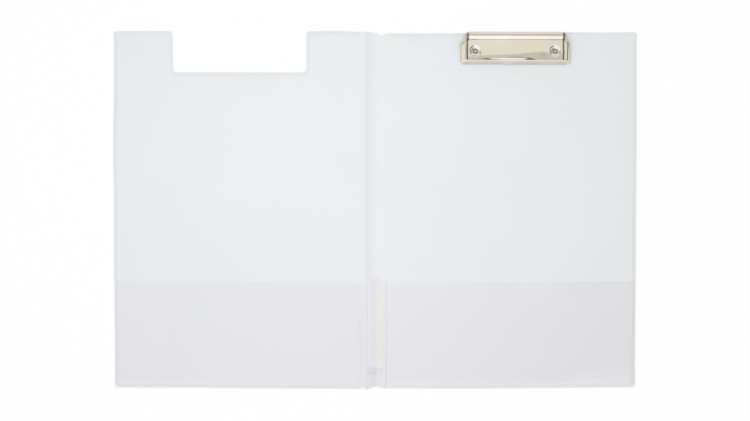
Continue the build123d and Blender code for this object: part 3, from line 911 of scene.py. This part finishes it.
class Nodes:
    """Short ways to add and join the nodes of one material or world."""

    def __init__(self, owner):
        owner.use_nodes = True
        self.owner = owner
        self.tree = owner.node_tree
        self.tree.nodes.clear()

    def add(self, kind, **values):
        node = self.tree.nodes.new(kind)
        for key, value in values.items():
            if hasattr(node, key):
                setattr(node, key, value)
            else:
                node.inputs[key.replace("_", " ")].default_value = value
        return node

    def join(self, source, target):
        self.tree.links.new(source, target)

    def put(self, value, target):
        """Joins an output to the input, or sets the input to a plain value."""
        if isinstance(value, (int, float, tuple)):
            target.default_value = value
        else:
            self.join(value, target)

    def math(self, operation, *values):
        node = self.add("ShaderNodeMath", operation=operation)
        for socket, value in zip(node.inputs, values):
            self.put(value, socket)
        return node.outputs[0]

    def times(self, a, b):
        return self.math("MULTIPLY", a, b)

    def mixed(self, share, a, b):
        """a where share is 0, b where it is 1."""
        return self.math("ADD", self.times(self.math("SUBTRACT", 1.0, share), a), self.times(share, b))

    def mixed_colour(self, share, a, b, blend="MIX"):
        node = self.add("ShaderNodeMix", data_type="RGBA", blend_type=blend)
        for socket, value in zip((0, 6, 7), (share, a, b)):
            self.put(value, node.inputs[socket])
        return node.outputs[2]

    def mixed_shader(self, share, a, b):
        node = self.add("ShaderNodeMixShader")
        for socket, value in zip(node.inputs, (share, a.outputs[0], b.outputs[0])):
            self.put(value, socket)
        return node

    def object_place(self):
        return self.add("ShaderNodeTexCoord").outputs["Object"]

    def axes(self, place):
        node = self.add("ShaderNodeSeparateXYZ")
        self.join(place, node.inputs[0])
        return node.outputs

    def noise(self, place, scale, detail=2.0, rough=0.5):
        node = self.add("ShaderNodeTexNoise", Scale=scale, Detail=detail, Roughness=rough)
        self.join(place, node.inputs["Vector"])
        return node.outputs["Fac"]

    def ramp(self, value, stops):
        node = self.add("ShaderNodeValToRGB")
        elements = node.color_ramp.elements
        while len(elements) < len(stops):
            elements.new(0.5)
        for element, (place, colour) in zip(elements, stops):
            element.position = place
            element.color = (*colour, 1)
        self.join(value, node.inputs[0])
        return node.outputs[0]

    def span(self, value, low, high, low_out, high_out):
        """Even change from low_out to high_out as the value goes from low to high."""
        node = self.add("ShaderNodeMapRange", From_Min=low, From_Max=high, To_Min=low_out, To_Max=high_out)
        self.join(value, node.inputs["Value"])
        return node.outputs[0]

    def step(self, value, low, high):
        """Soft step from 0 to 1 as the value goes from low to high, which may be the smaller."""
        node = self.add("ShaderNodeMapRange", interpolation_type="SMOOTHSTEP", From_Min=low, From_Max=high)
        self.join(value, node.inputs["Value"])
        return node.outputs[0]

    def bumped(self, height, distance, strength=1.0, normal=None):
        node = self.add("ShaderNodeBump", Strength=strength, Distance=distance)
        self.join(height, node.inputs["Height"])
        if normal is not None:
            self.join(normal, node.inputs["Normal"])
        return node.outputs[0]

    def finish(self, shader, output="ShaderNodeOutputMaterial"):
        self.join(shader.outputs[0], self.add(output).inputs["Surface"])
        return self.owner


def new_material(name):
    return Nodes(bpy.data.materials.new(name))


SHADING_REACH = 14.0

# Painted shade and painted light on the spine's foil over x in millimetres: darker where no board lies under
# it and along the weld, lighter on the slope beside the left crease and where the foil rises onto the right
# board
SPINE_PAINTED_SHADING = (
    (-14.0, (1.0, 1.0, 1.0)),
    (-12.6, (1.05, 1.06, 1.06)),
    (-9.7, (1.06, 1.065, 1.07)),
    (-8.3, (0.935, 0.937, 0.945)),
    (-7.8, (0.95, 0.955, 0.958)),
    (-4.7, (0.948, 0.95, 0.952)),
    (-2.0, (0.992, 0.995, 1.0)),
    (2.1, (1.0, 1.0, 1.002)),
    (5.7, (1.02, 1.0, 0.98)),
    (9.9, (1.05, 1.015, 0.975)),
    (12.2, (1.03, 1.015, 1.0)),
    (14.0, (1.0, 1.0, 1.0)),
)

# The same painted shade and painted light under the clear film, lighter still on the slopes beside the
# creases, where the film makes the foil look darker
COVERED_PAINTED_SHADING = (
    (-14.0, (1.02, 1.01, 1.01)),
    (-12.6, (1.13, 1.12, 1.12)),
    (-9.7, (1.14, 1.12, 1.12)),
    (-8.3, (0.96, 0.96, 0.95)),
    (-5.2, (1.06, 1.03, 1.04)),
    (-4.2, (1.02, 1.0, 1.0)),
    (-0.8, (0.99, 0.975, 0.98)),
    (0.6, (1.06, 1.04, 1.04)),
    (6.5, (1.1, 1.08, 1.02)),
    (9.2, (0.98, 0.96, 0.94)),
    (10.1, (0.97, 0.955, 0.935)),
    (10.9, (1.12, 1.1, 1.07)),
    (12.2, (1.08, 1.06, 1.04)),
    (14.0, (1.02, 1.01, 1.01)),
)


def painted_spine_shading(n, place, colour):
    """The foil's colour times painted shade and painted light across the spine, which only its inner side
    shows.
    """
    x, y, _ = n.axes(place)
    across = n.span(x, -SHADING_REACH * MM, SHADING_REACH * MM, 0.0, 1.0)
    open_part, covered_part = [
        n.ramp(across, [((u + SHADING_REACH) / (2 * SHADING_REACH), tone) for u, tone in tones])
        for tones in (SPINE_PAINTED_SHADING, COVERED_PAINTED_SHADING)
    ]
    covered = n.span(y, (MOUTH + 1) * MM, (MOUTH - 1) * MM, 0.0, 1.0)
    return n.mixed_colour(1.0, colour, n.mixed_colour(covered, open_part, covered_part), "MULTIPLY")


def foil_material(name, inner):
    """Satin white foil: faint clouds of colour, a fine grain and long soft waves."""
    n = new_material(name)
    place = n.object_place()
    clouds = n.noise(place, 9.0, 3.0)
    colour = n.ramp(clouds, ((0.3, (0.804, 0.822, 0.842)), (0.7, (0.822, 0.838, 0.856))))
    waves = n.bumped(n.noise(place, 26.0, 1.0, 0.4), 0.0012, 0.25)
    grain = n.bumped(n.noise(place, 2600.0, 2.0, 0.6), 0.00004, 0.5, waves)
    shader = n.add("ShaderNodeBsdfPrincipled", IOR=1.5)
    # The inner foil's colour carries painted shade and painted light across the spine
    n.join(painted_spine_shading(n, place, colour) if inner else colour, shader.inputs["Base Color"])
    n.join(n.span(n.noise(place, 160.0), 0.3, 0.7, 0.34, 0.44), shader.inputs["Roughness"])
    n.join(grain, shader.inputs["Normal"])
    return n.finish(shader)


# Where the sleeve's cross weld fades in from either side, from above and from below, in millimetres
PRESSED_SIDES = (7.4, 6.6)
PRESSED_ABOVE = (-141.2, -142.2)
PRESSED_BELOW = (-149.0, -147.8)


def pressed_part(n, place):
    """1 where the sleeve is pressed onto the spine, and its film is crumpled and cloudy."""
    x, y, _ = n.axes(place)
    sides, above, below = [[a * MM for a in pair] for pair in (PRESSED_SIDES, PRESSED_ABOVE, PRESSED_BELOW)]
    near = n.span(n.math("ABSOLUTE", x), *sides, 0.0, 1.0)
    high = n.span(y, *above, 0.0, 1.0)
    low = n.span(y, *below, 0.3, 1.0)
    crumple = n.span(n.noise(place, 1000.0, 3.0, 0.6), 0.47, 0.58, 0.0, 1.0)
    return n.times(n.times(near, high), n.times(low, crumple))


def film_material():
    """Clear film: almost no body of its own, and a gloss that grows towards grazing angles."""
    n = new_material("clear_film")
    place = n.object_place()
    waves = n.bumped(n.noise(place, 34.0, 2.0, 0.4), 0.001, 0.3)
    normal = n.bumped(n.noise(place, 900.0, 2.0, 0.6), 0.00003, 0.4, waves)
    clear = n.add("ShaderNodeBsdfTransparent", Color=(0.995, 0.990, 0.993, 1))
    haze = n.add("ShaderNodeBsdfPrincipled", IOR=1.53, Roughness=0.3)
    gloss = n.add("ShaderNodeBsdfGlossy", Color=(0.97, 0.97, 0.98, 1), Roughness=0.12)
    n.join(normal, gloss.inputs["Normal"])
    tint = n.ramp(n.noise(place, 7.0), ((0.3, (0.840, 0.840, 0.870)), (0.7, (0.870, 0.870, 0.900))))
    pressed = pressed_part(n, place)
    n.join(n.mixed_colour(pressed, tint, (0.42, 0.41, 0.44, 1)), haze.inputs["Base Color"])
    body = n.mixed_shader(n.math("MULTIPLY_ADD", pressed, 0.11, 0.014), clear, haze)
    # Schlick's form of the Fresnel term, the same from both faces of the thin film
    weight = n.add("ShaderNodeLayerWeight", Blend=0.5)
    n.join(normal, weight.inputs["Normal"])
    edge = n.math("MULTIPLY_ADD", n.math("POWER", weight.outputs["Facing"], 5.0), 0.96, 0.04)
    seen = n.add("ShaderNodeLightPath").outputs["Is Camera Ray"]
    share = n.times(edge, n.math("MULTIPLY_ADD", seen, 0.5, 0.1))
    return n.finish(n.mixed_shader(share, body, gloss))


def nickel_material(name, waviness, dark=1.0):
    """Bright nickel plating: long waves, fine pits and a faintly uneven polish."""
    n = new_material(name)
    place = n.object_place()
    waves = n.bumped(n.noise(place, 55.0, 1.0, 0.4), waviness, 0.5)
    low, high = [[dark * c for c in tone] for tone in ((0.73, 0.675, 0.565), (0.775, 0.725, 0.62))]
    shader = n.add("ShaderNodeBsdfPrincipled", Metallic=1.0)
    n.join(n.ramp(n.noise(place, 30.0, 3.0), ((0.3, low), (0.75, high))), shader.inputs["Base Color"])
    n.join(n.span(n.noise(place, 420.0, 4.0), 0.35, 0.75, 0.035, 0.09), shader.inputs["Roughness"])
    n.join(n.bumped(n.noise(place, 1500.0, 3.0, 0.6), 0.00001, 0.3, waves), shader.inputs["Normal"])
    return n.finish(shader)


def steel_material():
    """Drawn spring wire."""
    n = new_material("spring_steel")
    streaks = n.noise(n.object_place(), 800.0, 3.0, 0.6)
    colour = n.ramp(streaks, ((0.3, (0.42, 0.42, 0.43)), (0.75, (0.58, 0.58, 0.59))))
    shader = n.add("ShaderNodeBsdfPrincipled", Metallic=1.0)
    n.join(colour, shader.inputs["Base Color"])
    n.join(n.span(streaks, 0.3, 0.7, 0.28, 0.42), shader.inputs["Roughness"])
    n.join(n.bumped(streaks, 0.00002, 0.4), shader.inputs["Normal"])
    return n.finish(shader)


def board_material():
    """Matt grey board with short fibres."""
    n = new_material("grey_board")
    fibres = n.noise(n.object_place(), 900.0, 6.0, 0.7)
    tones = ((0.25, (0.30, 0.28, 0.25)), (0.6, (0.44, 0.415, 0.37)), (0.8, (0.52, 0.49, 0.44)))
    colour = n.ramp(fibres, tones)
    shader = n.add("ShaderNodeBsdfPrincipled", Roughness=0.92)
    n.join(colour, shader.inputs["Base Color"])
    n.join(n.bumped(fibres, 0.0001, 0.6), shader.inputs["Normal"])
    return n.finish(shader)


def dress(pieces, material):
    for piece in pieces:
        piece.data.materials.clear()
        piece.data.materials.append(material)


def redress(names, material):
    """Gives the solids that stay visible their finished material."""
    for name in names:
        slots = nodes[name].data.materials
        for index in range(len(slots)):
            slots[index] = material


nickel = nickel_material("nickel", 0.0005)
# A darker copy of the nickel for the washers and the hinge rod
darker_nickel = nickel_material("darker_nickel", 0.0004, 0.7)
# Painted shade: a much darker copy of the nickel for the rivets in their dishes and the plate's ears beside
# the roll's ends
shaded_nickel = nickel_material("shaded_nickel", 0.0004, 0.3)

dress((front_inner, back_inner), foil_material("inner_foil", True))
dress((front_outer, back_outer), foil_material("outer_foil", False))
dress((front_pocket, back_pocket, pen), film_material())
dress((front_board, back_board), board_material())
dress((clip_jaw, clip_plate), nickel)
# The rivets and the plate's ears get the nickel with painted shade
dress((rivet_tubes, clip_ears), shaded_nickel)
redress(("rivet_washers", "clip_hinge_rod"), darker_nickel)
redress(("torsion_spring_left", "torsion_spring_right"), steel_material())

# What each piece moves with and stands for

for word, side, inner, outer in (
    ("front", -1, front_inner, front_outer),
    ("back", 1, back_inner, back_outer),
):
    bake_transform(inner)
    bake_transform(outer)
    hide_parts(f"{word}_inner_foil", "spine_inner_foil")
    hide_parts(f"{word}_outer_foil", "spine_outer_foil")

for piece, body, solid in (
    (front_pocket, "front", "front_pocket"),
    (back_pocket, "back", "back_pocket"),
    (pen, "spine", "pen_pocket"),
    (front_board, "front", "front_board"),
    (clip_plate, "back", "clip_base_plate"),
    (clip_ears, "back", "clip_base_plate"),
    (rivet_tubes, "back", "clip_rivets"),
    (clip_jaw, "jaw", "clip_jaw"),
    (back_board, "back", "back_board"),
):
    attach(piece, body)
    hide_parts(solid)

# Floor, light and camera

FLOOR_REACH = 6.0
FLOOR_LEVEL = -0.0004
FLOOR_GLOW = 0.95
FILL_LIGHT = 0.81
SOFTBOX_SIZE = 0.3

scene = bpy.context.scene
scene.view_settings.view_transform = "Standard"


def floor_material():
    """White for what looks at it, a plain pale surface for light and shadow."""
    n = new_material("floor_white")
    pale = n.add("ShaderNodeBsdfDiffuse", Color=(0.94, 0.94, 0.94, 1))
    glow = n.add("ShaderNodeEmission", Strength=1.0)
    path = n.add("ShaderNodeLightPath").outputs
    mirrored = n.math("MAXIMUM", path["Is Glossy Ray"], path["Is Transmission Ray"])
    seen = n.math("MAXIMUM", path["Is Camera Ray"], mirrored)
    return n.finish(n.mixed_shader(n.times(seen, FLOOR_GLOW), pale, glow))


def make_floor():
    corners = [(-FLOOR_REACH, -FLOOR_REACH), (FLOOR_REACH, -FLOOR_REACH)]
    corners += [(FLOOR_REACH, FLOOR_REACH), (-FLOOR_REACH, FLOOR_REACH)]
    mesh = bpy.data.meshes.new("floor")
    mesh.from_pydata([(x, y, FLOOR_LEVEL) for x, y in corners], [], [(0, 1, 2, 3)])
    mesh.materials.append(floor_material())
    floor = bpy.data.objects.new("floor", mesh)
    scene.collection.objects.link(floor)


def mirrored_level(n, x, y, z, front):
    """The studio that gloss mirrors: a pale ceiling with a dim gap, and a bright front and left."""
    right_wall = n.step(x, -0.3, 0.42)
    level = n.mixed(n.step(z, 0.93, 0.7), 1.0, n.mixed(right_wall, 1.05, 0.28))
    low = n.step(z, 0.46, 0.36)
    level = n.mixed(low, level, 0.95)
    not_front = n.math("SUBTRACT", 1.0, front)
    level = n.mixed(n.times(n.step(y, -0.01, -0.03), not_front), level, 0.76)
    gap_left = n.mixed(n.step(x, -0.13, -0.05), 0.6, 0.88)
    gap_level = n.mixed(n.step(x, 0.06, 0.105), gap_left, 0.12)
    level = n.mixed(n.times(n.step(y, -0.06, -0.085), not_front), level, gap_level)
    level = n.mixed(n.step(y, 0.3, 0.42), level, 0.95)
    strip = n.times(n.step(y, 0.16, 0.22), n.step(y, 0.46, 0.4))
    level = n.mixed(n.times(strip, 0.8), level, 0.35)
    level = n.mixed(front, level, n.mixed(low, n.mixed(n.step(x, 0.2, 0.5), 1.2, 0.2), 1.2))
    ahead = n.times(front, n.times(n.step(x, -0.1, 0.0), n.step(x, 0.3, 0.2)))
    return n.mixed(ahead, level, 1.3)


def studio_world():
    """White behind the object, even light on it, and a studio for its gloss to mirror."""
    n = Nodes(bpy.data.worlds.new("studio"))
    scene.world = n.owner
    x, y, z = n.axes(n.add("ShaderNodeTexCoord").outputs["Generated"])
    front = n.step(y, -0.15, -0.21)
    mirrored = n.add("ShaderNodeBackground")
    n.join(n.mixed_colour(front, (1.0, 0.99, 0.955, 1), (0.98, 1.0, 1.12, 1)), mirrored.inputs["Color"])
    n.join(mirrored_level(n, x, y, z, front), mirrored.inputs["Strength"])
    plain = n.add("ShaderNodeBackground", Color=(1, 1, 1, 1), Strength=FILL_LIGHT)
    white = n.add("ShaderNodeBackground", Color=(1, 1, 1, 1), Strength=1.0)
    path = n.add("ShaderNodeLightPath").outputs
    lit = n.mixed_shader(path["Is Glossy Ray"], plain, mirrored)
    n.finish(n.mixed_shader(path["Is Camera Ray"], lit, white), "ShaderNodeOutputWorld")


def softbox(name, place, target, power, colour):
    lamp = bpy.data.lights.new(name, "AREA")
    lamp.shape = "RECTANGLE"
    lamp.size = lamp.size_y = SOFTBOX_SIZE
    lamp.energy = power
    lamp.color = colour
    obj = bpy.data.objects.new(name, lamp)
    scene.collection.objects.link(obj)
    obj.location = place
    obj.visible_camera = False
    obj.visible_glossy = False
    obj.rotation_euler = (Vector(target) - Vector(place)).to_track_quat("-Z", "Y").to_euler()


def make_camera():
    """Above the folder, a little off its middle, and turned to look at it."""
    data = bpy.data.cameras.new("camera")
    data.sensor_width = 36.0
    data.lens = 85.631
    data.clip_end = 50
    camera = bpy.data.objects.new("camera", data)
    camera.location = (-0.02059, 0.0546, 1.6)
    camera.rotation_euler = [math.radians(a) for a in (-1.969, -0.7207, 0.0627)]
    scene.collection.objects.link(camera)
    scene.camera = camera


make_floor()
studio_world()
softbox("left_softbox", (-0.15, 0.04, 0.5), (-0.13, 0.03, 0), 0.42, (0.76, 0.91, 1.0))
softbox("right_softbox", (0.08, 0.08, 0.5), (0.08, 0.07, 0), 0.28, (1.0, 0.94, 0.82))
make_camera()
